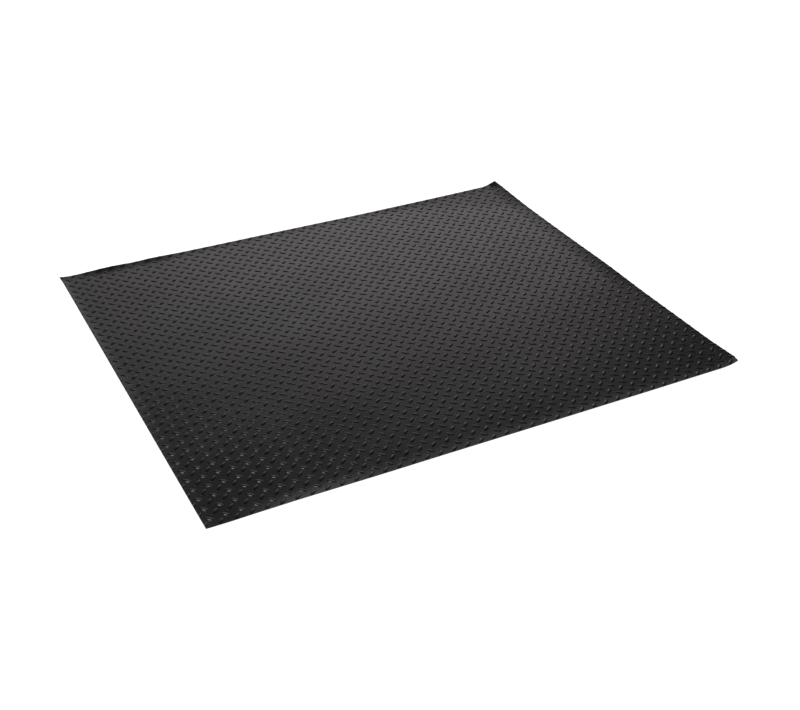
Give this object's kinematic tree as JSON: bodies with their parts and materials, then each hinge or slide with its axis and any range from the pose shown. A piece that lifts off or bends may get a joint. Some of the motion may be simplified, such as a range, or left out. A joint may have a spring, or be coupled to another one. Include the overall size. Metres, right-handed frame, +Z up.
{
  "type": "anti fatigue mat",
  "caption": "Rectangular floor mat: a black vinyl wear layer with a diamond-plate tread, laminated to a sponge core that is bevelled from below along its edges.",
  "frame": {"origin": "centre of the mat's underside, on the floor", "axes": "+X along the long side, to the right seen from the front; +Y from the front edge to the back edge; +Z up, out of the tread"},
  "size_m": [1.22, 1, 0.0095],
  "materials": {
    "vinyl_skin": "satin black vinyl, moulded with a raised diamond-plate tread",
    "vinyl_sponge": "matt black closed-cell vinyl sponge with a fine cell texture"
  },
  "bodies": {
    "root": {"wear_layer": "vinyl_skin", "foam_core": "vinyl_sponge"}
  },
  "joints": []
}
